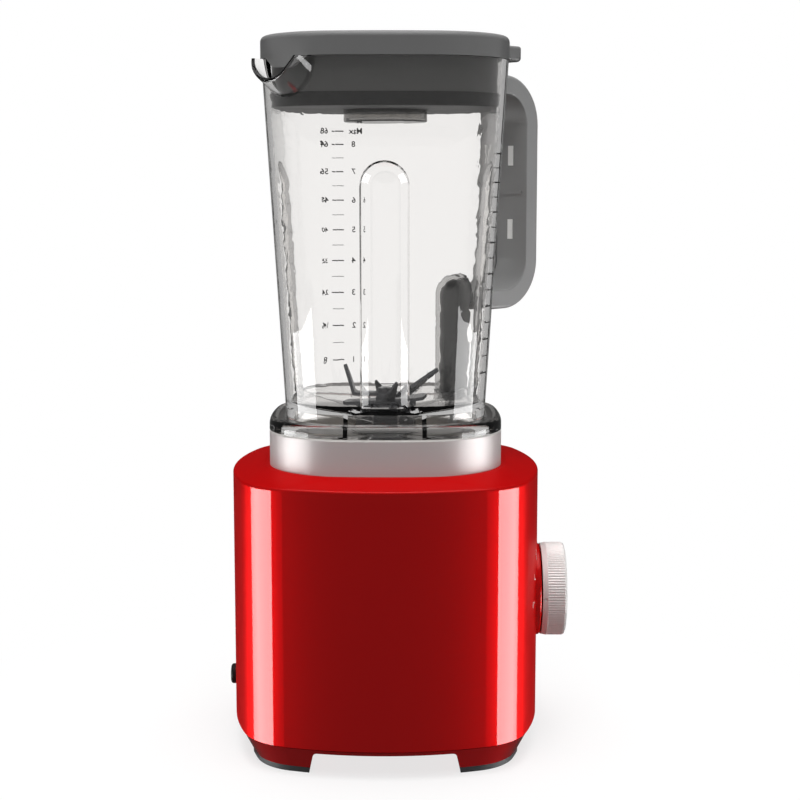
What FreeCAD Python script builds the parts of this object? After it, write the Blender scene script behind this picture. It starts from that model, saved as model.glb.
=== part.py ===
import FreeCAD, Part
import math
import os

# Countertop blender, millimetres. +Z is up, the origin is the drive axis at the table,
# +X points at the speed knob. The spout is over the -X -Y corner, the handle over +X +Y.

V = FreeCAD.Vector
UP = V(0, 0, 1)
FRONT = V(1, 0, 0)
DIAGONAL = 45.0

# ---- base: plan of the housing and its heights
base_half = 90.3
base_side_radius = 180.0
base_corner_radius = 39.0
base_wall = 3.0
foot_pad_height = 3.5
leg_height = 10.4
leg_width = 47.5
leg_inset = 7.5
leg_draft = 2.8
leg_round = 2.5
pad_inset = 0.4
pad_round = 0.8
pan_depth = 2.9
pan_floor = 2.2
pan_lip_height = 6.0
pan_lip_wall = 2.0
pan_screw_sink = 1.0
pan_screw_reach = 26.0
pan_pad_wall = 1.0
vent_slot_count = 9
vent_slot_length = 68.0
vent_slot_step = 6.0
vent_slot_width = 3.0
vent_pitch = 7.0
seam_depth = 0.8
seam_height = 0.6
housing_height = 147.2
deck_rise = 4.0
deck_margin = 3.0
deck_edge_round = 1.6
fit_gap = 0.3
shell_gap = 0.4
bolt_gap = 0.1
head_gap = 0.5
screw_end_gap = 2.0

# ---- silver band and the seat inside it
band_half = 68.2
band_side_radius = 300.0
band_corner_radius = 47.2
band_height = 20.5
band_wall = 3.0
band_chamfer = 0.7
seat_height = 4.0
seat_ring_radius = 21.0
seat_ring_wall = 3.0
seat_ring_height = 6.0
seat_groove_inset = 12.0
seat_groove_width = 2.0
seat_groove_depth = 1.2
seal_radius = 13.0
seal_flange = 3.0
seal_flange_height = 2.0

# ---- jar
skirt_half = 63.2
skirt_wall = 3.5
flange_height = 4.7
flange_shoulder = 2.3
flange_round = 4.0
wall_foot_half = 58.2
jar_foot_corner = 37.0
jar_rim_half = 70.8
jar_rim_corner = 46.0
jar_side_radius = 300.0
jar_height = 205.1
jar_wall = 3.2
floor_rim_rise = 12.5
floor_hub_rise = 3.5
floor_hub_half = 19.0
floor_thickness = 4.0
floor_web = 2.4
floor_web_count = 8
floor_web_start = 2.0
floor_web_drop = 4.0
under_floor_inset = 1.0
rib_radius = 20.6
rib_depth = 5.5
rib_wall = 3.0
rib_height = 154.7
spout_reach = 89.1
spout_lip_drop = 14.0
spout_radius = 20.0
spout_slope = 35.0
spout_wall = 2.5
spout_front_radius = 92.0
spout_side_round = 8.0
spout_lip_round = 1.1
spout_root = 8.0
spout_drop = 30.0
spout_top_gap = 0.5
lug_width = 12.0
lug_length = 10.0
lug_gap = 0.4
lug_root = 8.0

# ---- handle, in the plane of the +X +Y corner
handle_reach = 121.4
handle_depth = 11.5
handle_width = 28.0
handle_edge_round = 2.2
handle_lip_round = 0.7
handle_rise = 58.8
handle_top_drop = 3.1
handle_corner = 30.0
handle_wall = 2.6
cover_inset = 0.8
cover_thickness = 2.4
small_screw_radius = 1.3
small_head_radius = 2.5
small_head_height = 1.6
small_screw_reach = 4.0
slot_width = 4.4
slot_height = 12.5
slot_spacing = 46.0
clip_proud = 0.2
cover_rib_height = 2.0
cover_rib_depth = 0.6
cover_rib_end = 2.0
cover_gap = 0.1
post_reach = 61.0
post_radius = 9.5
post_height = 68.5
post_wall = 3.0
post_face_reach = 70.5
post_screw_reach = 16.0
post_tongue_root = 2.0

# ---- lid and measuring cup
lid_half = 71.3
lid_corner_radius = 46.5
lid_height = 12.9
lid_top_thickness = 3.0
lid_edge_round = 3.0
lid_ledge_half = 58.0
dip_drop = 5.8
dip_half_width = 5.0
dip_slope = 12.5
dip_wall = 2.4
plug_gap = 1.2
plug_wall = 3.0
plug_depth = 26.6
gasket_wall = 0.8
gasket_height = 7.4
gasket_rise = 0.3
gasket_rib = 0.9
gasket_rib_pitch = 2.4
gasket_rib_count = 3
tab_reach = 111.3
tab_width = 21.0
tab_height = 9.4
tab_rise = 2.2
tab_corner = 6.3
tab_round = 1.6
tab_under_round = 2.4
cup_radius = 24.2
cup_wall = 2.0
cup_flange_radius = 32.5
cup_flange = 2.3
cup_gap = 1.0
cup_rest = 0.2
cup_round = 1.0
collar_wall = 2.5
cup_below_plug = 7.0
finger_notch_radius = 8.0

# ---- knob
knob_height = 87.6
boss_radius = 27.6
boss_rise = 1.7
boss_round = 1.2
boss_root = 2.0
knob_gap = 0.7
knob_radius = 27.8
knob_back_radius = 27.2
knob_taper_length = 3.1
knob_grip_length = 11.2
knob_front_round = 1.6
knob_wall = 4.0
knob_ridge_count = 110
knob_ridge_depth = 0.3
knob_rim_width = 6.0
knob_rim_slope = 1.5
knob_dish = 0.9
knob_dot_radius = 1.1
knob_dot_depth = 1.4
knob_dot_back = 1.6
knob_core_gap = 0.1
knob_core_recess = 1.0
knob_core_wall = 3.0
knob_hub_wall = 4.0
knob_shaft_end = 2.0
knob_shaft_radius = 3.0
running_gap = 0.05

# ---- blades and their spindle
spindle_radius = 4.0
blade_thickness = 2.0
blade_hub_radius = 18.0
blade_notch_count = 24
blade_notch_depth = 2.2
blade_notch_width = 2.0
blade_width = 12.0
upper_flat = 14.0
steep_angle = 74.0
steep_length = 17.5
slope_angle = 39.0
slope_length = 25.0
middle_angle = 50.0
middle_length = 14.0
middle_flat = 17.0
lower_reach = 30.0
lower_width = 14.0
nut_radius = 5.5
nut_height = 2.5
spindle_end = 0.5
spindle_chamfer = 0.6
bearing_radius = 8.0
bearing_height = 5.0
bearing_rest = 0.5
bearing_recess = 0.4
hub_tube_radius = 13.0
hub_flange_radius = 17.0
hub_flange_height = 2.0
hub_chamfer = 1.2
hub_tube_drop = 13.0
hub_nut_radius = 19.0
hub_nut_height = 6.0

# ---- drive coupling
star_radius = 10.0
star_root_radius = 7.5
star_points = 6
star_height = 6.0
coupler_side_gap = 2.0
coupler_sink = 3.0
driven_radius = 14.0
driven_web = 4.5
coupling_gap = 0.4
driven_lift = 0.6

# ---- motor
motor_shaft_radius = 4.0
shaft_room = 2.0
shaft_end = 2.0
shaft_recess = 1.0
stator_radius = 44.0
stator_bottom = 68.0
stator_stack = 50.0
rotor_radius = 24.9
air_gap = 0.6
yoke_depth = 6.0
pole_angle = 50.0
slot_angle = 26.0
coil_overhang = 8.0
coil_bore_gap = 1.5
coil_yoke_gap = 0.5
coil_side_angle = 1.5
pole_side_angle = 0.8
rotor_slot_count = 12
rotor_slot_width = 3.0
rotor_slot_depth = 8.0
winding_radius = 21.0
winding_gap = 0.2
commutator_radius = 14.0
commutator_height = 14.0
commutator_bars = 24
commutator_gap = 1.0
commutator_slot_depth = 0.8
commutator_slot_width = 0.7
commutator_band = 2.0
brush_width = 6.0
brush_height = 8.0
brush_length = 15.0
brush_reach = 40.0
brush_rise = 1.0
brush_gap = 0.1
brush_angles = (45, 225)
spring_radius = 2.4
holder_wall = 1.6
holder_start = 4.0
holder_arm = 4.5
bracket_thickness = 4.0
bracket_half = 52.0
frame_corner = 14.0
frame_margin = 4.0
window_inner = 19.0
window_outer = 34.0
window_angle = 32.0
motor_bearing_radius = 11.0
motor_bearing_height = 7.0
bearing_seat_wall = 3.0
bearing_lip = 1.5
shield_recess = 0.6
mount_inset = 10.96
mount_boss_radius = 6.0
damper_height = 4.0
damper_overhang = 1.0
bracket_drop = 4.0
mount_screw_cover = 1.0
bolt_radius = 1.9
bolt_head_radius = 3.5
bolt_head_height = 2.6
tie_radius = 41.0
tie_post_radius = 3.2
tie_end = 3.0
fan_radius = 42.0
fan_disc = 2.0
fan_height = 12.0
fan_blade_count = 9
fan_hub_radius = 9.0
fan_vane = 1.8
fan_vane_gap = 1.5
fan_vane_angle = 24.0
fan_bolt_gap = 1.5
baffle_gap = 3.0
baffle_wall = 2.0
baffle_foot = 4.0
baffle_rise = 1.0
corner_post_inset = 48.57
corner_post_radius = 5.5
post_seat_rise = 2.0
post_bite = 0.5

# ---- electrics
board_width = 64.0
board_height = 72.0
board_thickness = 1.6
board_stand_off = 12.0
board_edge = 9.0
board_post_radius = 3.5
board_hole_radius = 1.5
board_screw_radius = 1.3
board_screw_reach = 7.0
board_head_radius = 2.6
board_head_height = 1.8
sink_width = 26.0
sink_height = 16.0
sink_depth = 16.0
sink_side = 6.0
sink_drop = 14.0
sink_back = 3.0
fin_gap = 2.2
fin_pitch = 5.0
fin_count = 4
relay_width = 18.0
relay_height = 18.0
relay_depth = 15.0
relay_side = 16.0
relay_rise = 8.0
capacitor_radius = 7.5
capacitor_length = 22.0
capacitor_side = 16.0
terminal_width = 8.0
terminal_height = 22.0
terminal_depth = 9.0
terminal_side = 28.0
terminal_drop = 10.0
encoder_size = 13.0
encoder_depth = 7.0
encoder_back_wall = 2.0
encoder_shaft_gap = 0.5
bush_radius = 4.4
bush_recess = 0.5
gland_height = 34.5
gland_radius = 6.0
gland_bore = 3.4
gland_proud = 3.6
gland_inner = 10.0
gland_flange = 8.5
gland_round = 1.5
gland_tail = 1.0

# ---- heights that follow from the sizes above
leg_bottom = foot_pad_height
pan_bottom = leg_bottom + leg_height
seam_top = pan_bottom + pan_depth
deck_edge = seam_top + housing_height
deck_top = deck_edge + deck_rise
deck_underside = deck_top - base_wall
post_seat = seam_top + pan_lip_height + post_seat_rise
leg_inner_edge = base_half - leg_width
corner_post_reach = base_half * math.sqrt(2) - corner_post_inset
band_top = deck_top + band_height
seat_top = deck_top + seat_height
skirt_bottom = seat_top
flange_bottom = band_top + shell_gap
flange_top = flange_bottom + flange_height
rim_top = flange_top + jar_height
floor_hub_top = flange_top + floor_hub_rise
floor_rim_top = flange_top + floor_rim_rise
handle_bottom = flange_top + handle_rise
handle_top = rim_top - handle_top_drop
handle_middle = (handle_bottom + handle_top) / 2
cover_depth = handle_depth - cover_inset
past_all = handle_reach * 1.5
arm_middle = (handle_wall + cover_depth - cover_thickness) / 2
upper_arm = handle_top - arm_middle
lower_arm = handle_bottom + arm_middle
lug_height = cover_depth - cover_thickness - handle_wall - 2 * lug_gap
lid_top_level = rim_top + lid_height
plug_bottom = rim_top - plug_depth
knob_back = base_half + boss_rise + knob_gap
knob_front = knob_back + knob_taper_length + knob_grip_length
stator_top = stator_bottom + stator_stack
commutator_bottom = stator_top + coil_overhang + commutator_gap
brush_level = commutator_bottom + commutator_height / 2 + brush_rise
upper_bracket_top = deck_underside - damper_height - bracket_drop
upper_bearing_bottom = upper_bracket_top - bearing_lip - motor_bearing_height
lower_bearing_bottom = stator_bottom - coil_overhang - 2 * motor_bearing_height
lower_bracket_bottom = lower_bearing_bottom - bearing_lip
fan_top = lower_bracket_bottom - bolt_head_height - fan_bolt_gap
coupler_bottom = seat_top + coupling_gap
shaft_top = coupler_bottom + star_height - shaft_recess
driven_bottom = coupler_bottom + driven_lift
hub_tube_bottom = floor_hub_top - hub_tube_drop
hub_top = floor_hub_top + hub_flange_height
blade_bottom = hub_top + fit_gap


# ---------------------------------------------------------------- shared shapes
def grow(plan, by):
    half, side, corner = plan
    return (half + by, side + by, corner + by)


def plan_wire(plan, z):
    # a square of four bowed sides, joined by round corners that are tangent to them
    half, side, corner = plan
    shift = side - half
    reach = side - corner
    centre = (math.sqrt(2 * reach**2 - shift**2) - shift) / 2
    joint_x = side * (centre + shift) / reach - shift
    joint_y = side * centre / reach
    tip = centre + corner / math.sqrt(2)
    edges = []
    for quarter in range(4):
        turn = FreeCAD.Rotation(UP, 90 * quarter)
        points = [(joint_x, -joint_y), (half, 0), (joint_x, joint_y), (tip, tip), (joint_y, joint_x)]
        a, b, c, d, e = [turn.multVec(V(x, y, z)) for x, y in points]
        edges.append(Part.Arc(a, b, c).toShape())
        edges.append(Part.Arc(c, d, e).toShape())
    return Part.Wire(edges)


def corner_reach(plan):
    # how far the plan's corner stands from the axis
    half, side, corner = plan
    centre = (math.sqrt(2 * (side - corner) ** 2 - (side - half) ** 2) - side + half) / 2
    return centre * math.sqrt(2) + corner


def prism(plan, bottom, top):
    return Part.Face(plan_wire(plan, bottom)).extrude(V(0, 0, top - bottom))


def tapered(low_plan, bottom, high_plan, top):
    return Part.makeLoft([plan_wire(low_plan, bottom), plan_wire(high_plan, top)], True, True)


def ring(outer, inner, bottom, top):
    return prism(outer, bottom, top).cut(prism(inner, bottom, top))


def drum(radius, bottom, top, x=0.0, y=0.0):
    return Part.makeCylinder(radius, top - bottom, V(x, y, bottom))


def tube(outer, inner, bottom, top, x=0.0, y=0.0):
    return drum(outer, bottom, top, x, y).cut(drum(inner, bottom, top, x, y))


def rod_x(radius, back, front, y, z):
    return Part.makeCylinder(radius, front - back, V(back, y, z), FRONT)


def block(low, high):
    size = [b - a for a, b in zip(low, high)]
    return Part.makeBox(size[0], size[1], size[2], V(*low))


def about_z(shape, angle):
    turned = shape.copy()
    turned.rotate(V(0, 0, 0), UP, angle)
    return turned


def on_diagonal(shape, angle=DIAGONAL):
    return about_z(shape, angle)


def fused(shapes):
    return shapes[0].multiFuse(shapes[1:]).removeSplitter()


def sector(inner, outer, start, end, bottom, top):
    # a part of a tube between two angles
    face_points = []
    for radius, angle in ((inner, start), (outer, start), (outer, (start + end) / 2)):
        face_points.append((radius, angle))
    for radius, angle in ((outer, end), (inner, end), (inner, (start + end) / 2)):
        face_points.append((radius, angle))
    at = [
        V(r * math.cos(math.radians(a)), r * math.sin(math.radians(a)), bottom)
        for r, a in face_points
    ]
    edges = [
        Part.makeLine(at[0], at[1]),
        Part.Arc(at[1], at[2], at[3]).toShape(),
        Part.makeLine(at[3], at[4]),
        Part.Arc(at[4], at[5], at[0]).toShape(),
    ]
    return Part.Face(Part.Wire(edges)).extrude(V(0, 0, top - bottom))


def star(radius, root, points, bottom, top):
    corners = []
    for step in range(2 * points):
        reach = radius if step % 2 == 0 else root
        angle = math.pi * step / points
        corners.append(V(reach * math.cos(angle), reach * math.sin(angle), bottom))
    outline = Part.makePolygon(corners + corners[:1])
    return Part.Face(outline).extrude(V(0, 0, top - bottom))


def screw(x, y, seat, tip, radius=bolt_radius, head=bolt_head_radius, height=bolt_head_height):
    # a pan-head screw along Z: its head lies against the seat, on the far side from the tip
    way = 1 if tip > seat else -1
    along = V(0, 0, way)
    cap = Part.makeCylinder(head, height, V(x, y, seat - way * height), along)
    socket = Part.makeCylinder(head * 0.4, height * 0.6, V(x, y, seat - way * height), along)
    shank = Part.makeCylinder(radius, abs(tip - seat), V(x, y, seat), along)
    return cap.fuse(shank).cut(socket).removeSplitter()


def edges_at(shape, z, reach):
    # the outline edges that lie at one height and no nearer the axis than the reach
    found = []
    for edge in shape.Edges:
        box = edge.BoundBox
        middle = edge.valueAt((edge.FirstParameter + edge.LastParameter) / 2)
        flat = abs(box.ZMin - z) < 0.01 and abs(box.ZMax - z) < 0.01
        if flat and max(abs(middle.x), abs(middle.y)) > reach:
            found.append(edge)
    return found


def save(name, shape):
    if isinstance(shape, list):
        shape = Part.makeCompound(shape)
    shape.exportStep("parts/" + name + ".step")


# ---------------------------------------------------------------- plans
base_plan = (base_half, base_side_radius, base_corner_radius)
band_plan = (band_half, band_side_radius, band_corner_radius)
skirt_plan = (skirt_half, band_side_radius, band_corner_radius + skirt_half - band_half)
lid_plan = (lid_half, jar_side_radius, lid_corner_radius)
corner_posts = corner_post_reach / math.sqrt(2)
post_places = [(x, y) for x in (-corner_posts, corner_posts) for y in (-corner_posts, corner_posts)]
mount_half = corner_posts - mount_inset
mount_places = [(x, y) for x in (-mount_half, mount_half) for y in (-mount_half, mount_half)]
tie_places = [(tie_radius, 0), (0, tie_radius), (-tie_radius, 0), (0, -tie_radius)]
board_face = base_half - base_wall - board_stand_off
board_side = board_width / 2 - board_edge
board_end = board_height / 2 - board_edge
board_places = [(y, knob_height + z) for y in (-board_side, board_side) for z in (-board_end, board_end)]


def jar_plan(z, inset=0.0):
    # the jar's outer plan at a height: it widens evenly from the flange to the rim
    share = (z - flange_top) / jar_height
    half = wall_foot_half + (jar_rim_half - wall_foot_half) * share
    corner = jar_foot_corner + (jar_rim_corner - jar_foot_corner) * share
    return grow((half, jar_side_radius, corner), -inset)


def jar_cone(bottom, top, inset=0.0):
    return tapered(jar_plan(bottom, inset), bottom, jar_plan(top, inset), top)


# ---------------------------------------------------------------- base
def base_housing():
    outer = prism(base_plan, seam_top, deck_edge)
    rounded = outer.makeFillet(deck_edge_round, edges_at(outer, deck_edge, base_half * 0.5))
    shoulder = grow(base_plan, -deck_edge_round - 0.1)
    deck = tapered(shoulder, deck_edge, grow(band_plan, deck_margin), deck_top)
    deck = deck.fuse(prism(shoulder, deck_edge - deck_edge_round, deck_edge))
    inside = prism(grow(base_plan, -base_wall), seam_top, deck_edge - base_wall)
    vault = tapered(
        grow(shoulder, -base_wall), deck_edge - base_wall, grow(band_plan, deck_margin), deck_underside
    )
    knob_boss = rod_x(boss_radius, base_half - base_wall - boss_root, base_half + boss_rise, 0, knob_height)
    front_rim = [e for e in knob_boss.Edges if abs(e.BoundBox.XMin - base_half - boss_rise) < 0.01]
    knob_boss = knob_boss.makeFillet(boss_round, front_rim)
    shell = fused([rounded, deck, knob_boss]).cut(fused([inside, vault]))
    posts = []
    post_top = deck_underside + post_bite
    for x, y in post_places:
        posts.append(drum(corner_post_radius, post_seat, post_top, x, y))
    for x, y in mount_places:
        posts.append(drum(mount_boss_radius, upper_bracket_top + damper_height, post_top, x, y))
    board_back = board_face + board_thickness
    for y, z in board_places:
        posts.append(rod_x(board_post_radius, board_back, base_half - base_wall / 2, y, z))
    holes = [drum(seal_radius, deck_edge, deck_top + 1.0)]
    holes.append(rod_x(bush_radius + fit_gap, 0, base_half + 10, 0, knob_height))
    holes.append(rod_x(gland_radius, -base_half - 5, -base_half + 10, 0, gland_height))
    for x, y in post_places:
        holes.append(drum(bolt_radius, seam_top, seam_top + pan_screw_reach + screw_end_gap, x, y))
    for x, y in mount_places:
        holes.append(drum(bolt_radius, upper_bracket_top, deck_edge - mount_screw_cover / 2, x, y))
    board_hole_end = board_back + board_screw_reach + screw_end_gap / 2
    for y, z in board_places:
        holes.append(rod_x(board_screw_radius, board_face, board_hole_end, y, z))
    kept = fused(posts).common(prism(grow(base_plan, -base_wall / 2), 0, post_top))
    return fused([shell, kept]).cut(fused(holes))


def leg_tunnels():
    # two tunnels that cross under the pan: their sides lean in towards a rounded ceiling
    ceiling = leg_inner_edge - leg_draft
    outline = [
        (-leg_inner_edge, -1.0), (-leg_inner_edge, 0), (-ceiling, pan_bottom),
        (ceiling, pan_bottom), (leg_inner_edge, 0), (leg_inner_edge, -1.0),
    ]
    points = [V(x, -past_all, z) for x, z in outline]
    tunnel = Part.Face(Part.makePolygon(points + points[:1])).extrude(V(0, 2 * past_all, 0))
    upper = [e for e in edges_at(tunnel, pan_bottom, ceiling - 1.0) if e.Length > past_all]
    tunnel = tunnel.makeFillet(leg_round, upper)
    return tunnel.fuse(about_z(tunnel, 90))


def vent_slots():
    slots = []
    for number in range(vent_slot_count):
        step = number - (vent_slot_count - 1) / 2
        length = (vent_slot_length - abs(step) * vent_slot_step) / 2
        y = step * vent_pitch - vent_slot_width / 2
        low = (-length, y, pan_bottom - 1)
        slots.append(block(low, (length, y + vent_slot_width, pan_bottom + pan_floor + 1)))
    return slots


def bottom_pan():
    sole = grow(base_plan, -leg_inset)
    brim = grow(base_plan, -seam_depth)
    body = tapered(sole, leg_bottom, brim, seam_top - seam_height)
    body = body.cut(leg_tunnels())
    band = prism(grow(brim, -seam_depth), seam_top - seam_height, seam_top)
    lip_plan = grow(base_plan, -base_wall - shell_gap)
    lip = ring(lip_plan, grow(lip_plan, -pan_lip_wall), seam_top - 1.0, seam_top + pan_lip_height)
    hollow = prism(grow(lip_plan, -pan_lip_wall), pan_bottom + pan_floor, seam_top + 1.0)
    shape = fused([body, band, lip]).cut(hollow)
    pads = []
    cuts = list(vent_slots())
    for x, y in post_places:
        pads.append(drum(corner_post_radius + pan_pad_wall, pan_bottom, post_seat, x, y))
        cuts.append(drum(bolt_radius + fit_gap, 0, post_seat + 1.0, x, y))
        cuts.append(drum(bolt_head_radius + head_gap, 0, pan_bottom + pan_screw_sink, x, y))
    pads = fused(pads).common(prism(lip_plan, 0, post_seat))
    return fused([shape, pads]).cut(fused(cuts))


def foot_pads():
    sole = grow(base_plan, -leg_inset - pad_inset)
    slab = prism(sole, 0, foot_pad_height)
    edges = edges_at(slab, 0, base_half * 0.4)
    slab = slab.makeFillet(pad_round, edges)
    pads = slab.cut(leg_tunnels())
    wells = [drum(bolt_head_radius + head_gap, -1, foot_pad_height + 1, x, y) for x, y in post_places]
    return pads.cut(fused(wells)).Solids


def pan_screws():
    return [screw(x, y, pan_bottom + pan_screw_sink, seam_top + pan_screw_reach) for x, y in post_places]


def trim_band():
    shape = ring(band_plan, grow(band_plan, -band_wall), deck_top, band_top)
    outer_edges = edges_at(shape, band_top, band_half * 0.5)
    return shape.makeChamfer(band_chamfer, outer_edges)


def jar_seat():
    plan = grow(band_plan, -band_wall - fit_gap)
    plate = prism(plan, deck_top, seat_top)
    collar = drum(seat_ring_radius, seat_top, seat_top + seat_ring_height)
    shape = plate.fuse(collar).cut(drum(seat_ring_radius - seat_ring_wall, seat_top, rim_top))
    outer = grow(plan, -seat_groove_inset)
    inner = grow(outer, -seat_groove_width)
    groove = ring(outer, inner, seat_top - seat_groove_depth, seat_top)
    return shape.cut(groove).cut(drum(seal_radius, deck_top, seat_top)).removeSplitter()


def base_shaft_seal():
    flange_bottom_z = deck_underside - seal_flange_height
    body = drum(seal_radius, flange_bottom_z, deck_top)
    flange = drum(seal_radius + seal_flange, flange_bottom_z, deck_underside)
    return fused([body, flange]).cut(drum(motor_shaft_radius + fit_gap, flange_bottom_z - 1, deck_top + 1))


def cord_gland():
    outside = -base_half - gland_proud
    body = rod_x(gland_radius, outside, -base_half + gland_inner, 0, gland_height)
    rim = [e for e in body.Edges if abs(e.BoundBox.XMax - outside) < 0.01]
    body = body.makeFillet(gland_round, rim)
    nut_face = -base_half + base_wall + fit_gap
    nut = rod_x(gland_flange, nut_face, nut_face + gland_inner - base_wall - gland_tail, 0, gland_height)
    bore = rod_x(gland_bore, outside - 1, -base_half + gland_inner + 1, 0, gland_height)
    return fused([body, nut]).cut(bore)


# ---------------------------------------------------------------- motor
def motor_frame_plate(bottom):
    half = bracket_half
    top = bottom + bracket_thickness
    plate = prism((half, band_side_radius, frame_corner), bottom, top)
    windows = []
    for quarter in range(4):
        window = sector(window_inner, window_outer, -window_angle, window_angle, bottom, top)
        windows.append(about_z(window, 90 * quarter))
    return plate.cut(fused(windows))


def upper_bracket():
    bottom = upper_bracket_top - bracket_thickness
    plate = motor_frame_plate(bottom)
    seat = drum(motor_bearing_radius + bearing_seat_wall, upper_bearing_bottom, upper_bracket_top)
    posts = [drum(tie_post_radius, stator_top, bottom, x, y) for x, y in tie_places]
    cuts = [drum(motor_bearing_radius, upper_bearing_bottom - 1, upper_bracket_top - bearing_lip)]
    cuts.append(drum(motor_shaft_radius + shaft_room, upper_bearing_bottom, upper_bracket_top + 1))
    cuts += [drum(bolt_radius, stator_top - 1, upper_bracket_top + 1, x, y) for x, y in tie_places]
    cuts += [drum(bolt_radius + fit_gap, bottom - 1, upper_bracket_top + 1, x, y) for x, y in mount_places]
    return fused([plate, seat] + posts).cut(fused(cuts))


def lower_bracket():
    bottom = lower_bracket_bottom
    top = bottom + bracket_thickness
    plate = motor_frame_plate(bottom).common(drum(stator_radius + frame_margin, bottom, top))
    seat_top_z = lower_bearing_bottom + motor_bearing_height
    seat = drum(motor_bearing_radius + bearing_seat_wall, bottom, seat_top_z)
    posts = [drum(tie_post_radius, top, stator_bottom, x, y) for x, y in tie_places]
    cuts = [drum(motor_bearing_radius, lower_bearing_bottom, seat_top_z + 1)]
    cuts.append(drum(motor_shaft_radius + shaft_room, bottom - 1, seat_top_z))
    cuts += [drum(bolt_radius, bottom - 1, stator_bottom + 1, x, y) for x, y in tie_places]
    return fused([plate, seat] + posts).cut(fused(cuts))


def motor_bearing(bottom):
    top = bottom + motor_bearing_height
    outer_race = motor_bearing_radius * 0.8
    inner_race = motor_bearing_radius * 0.6
    outer = tube(motor_bearing_radius, outer_race, bottom, top)
    shield = tube(outer_race, inner_race, bottom + shield_recess, top - shield_recess)
    inner = tube(inner_race, motor_shaft_radius + running_gap, bottom, top)
    return fused([outer, shield, inner])


def tie_bolts():
    return [screw(x, y, lower_bracket_bottom, upper_bracket_top + tie_end) for x, y in tie_places]


def motor_screws():
    seat = upper_bracket_top - bracket_thickness
    return [screw(x, y, seat, deck_edge - mount_screw_cover) for x, y in mount_places]


def motor_dampers():
    top = upper_bracket_top + damper_height
    outer = mount_boss_radius + damper_overhang
    return [tube(outer, bolt_radius + bolt_gap, upper_bracket_top, top, x, y) for x, y in mount_places]


def stator_core():
    inner = rotor_radius + air_gap
    core = tube(stator_radius, inner, stator_bottom, stator_top)
    yoke = stator_radius - yoke_depth
    cuts = []
    for side in (0, 180):
        for start in (pole_angle, -pole_angle - slot_angle):
            slot = sector(inner - 2, yoke, start, start + slot_angle, stator_bottom, stator_top)
            cuts.append(about_z(slot, side))
    cuts += [drum(bolt_radius + bolt_gap, stator_bottom, stator_top, x, y) for x, y in tie_places]
    return core.cut(fused(cuts))


def field_windings():
    inner = rotor_radius + air_gap + coil_bore_gap
    outer = stator_radius - yoke_depth - coil_yoke_gap
    spread = pole_angle + slot_angle - coil_side_angle
    bottom = stator_bottom - coil_overhang
    coil = sector(inner, outer, -spread, spread, bottom, stator_top + coil_overhang)
    window = pole_angle + pole_side_angle
    pole = sector(inner - 3, outer + 3, -window, window, stator_bottom - fit_gap, stator_top + fit_gap)
    return [about_z(coil.cut(pole), side) for side in (0, 180)]


def rotor_core():
    core = tube(rotor_radius, motor_shaft_radius, stator_bottom, stator_top)
    slots = []
    for step in range(rotor_slot_count):
        low = (rotor_radius - rotor_slot_depth, -rotor_slot_width / 2, stator_bottom)
        high = (rotor_radius + 1, rotor_slot_width / 2, stator_top)
        slots.append(about_z(block(low, high), 360 * step / rotor_slot_count))
    return core.cut(fused(slots))


def armature_windings():
    rest = winding_gap
    pieces = []
    for bottom, top in (
        (stator_bottom - coil_overhang, stator_bottom - rest),
        (stator_top + rest, stator_top + coil_overhang),
    ):
        pieces.append(tube(winding_radius, motor_shaft_radius + rest, bottom, top))
    for step in range(rotor_slot_count):
        low = (rotor_radius - rotor_slot_depth + rest, -rotor_slot_width / 2 + rest, stator_bottom - 1)
        high = (winding_radius, rotor_slot_width / 2 - rest, stator_top + 1)
        pieces.append(about_z(block(low, high), 360 * step / rotor_slot_count))
    return fused(pieces)


def commutator():
    top = commutator_bottom + commutator_height
    bars_bottom = commutator_bottom + commutator_band
    body = tube(commutator_radius, motor_shaft_radius, commutator_bottom, top)
    cuts = []
    for step in range(commutator_bars):
        low = (commutator_radius - commutator_slot_depth, -commutator_slot_width / 2, bars_bottom)
        high = (commutator_radius + 1, commutator_slot_width / 2, top)
        cuts.append(about_z(block(low, high), 360 * (step + 0.5) / commutator_bars))
    return body.cut(fused(cuts))


def brush_block(inner, outer, grow_by):
    half_w = brush_width / 2 + grow_by
    half_h = brush_height / 2 + grow_by
    return block((-half_w, inner, brush_level - half_h), (half_w, outer, brush_level + half_h))


def carbon_brushes():
    brush = brush_block(commutator_radius + fit_gap, commutator_radius + brush_length, 0)
    return [about_z(brush, side) for side in brush_angles]


def brush_springs():
    start = commutator_radius + brush_length
    length = brush_reach - holder_wall - start
    spring = Part.makeCylinder(spring_radius, length, V(0, start, brush_level), V(0, 1, 0))
    return [about_z(spring, side) for side in brush_angles]


def brush_holders():
    outer = brush_block(commutator_radius + holder_start, brush_reach, holder_wall + brush_gap)
    bore = brush_block(0, brush_reach - holder_wall, brush_gap)
    low = (-brush_width / 2, brush_reach - holder_arm, brush_level)
    high = (brush_width / 2, brush_reach, upper_bracket_top - bracket_thickness)
    holder = fused([outer, block(low, high)]).cut(bore)
    return [about_z(holder, side) for side in brush_angles]


def motor_shaft():
    return drum(motor_shaft_radius, fan_top - fan_height - shaft_end, shaft_top)


def drive_coupler():
    body = drum(seal_radius - coupler_side_gap, seat_top - coupler_sink, coupler_bottom)
    teeth = star(star_radius, star_root_radius, star_points, coupler_bottom, coupler_bottom + star_height)
    return fused([body, teeth]).cut(drum(motor_shaft_radius, 0, shaft_top))


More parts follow.
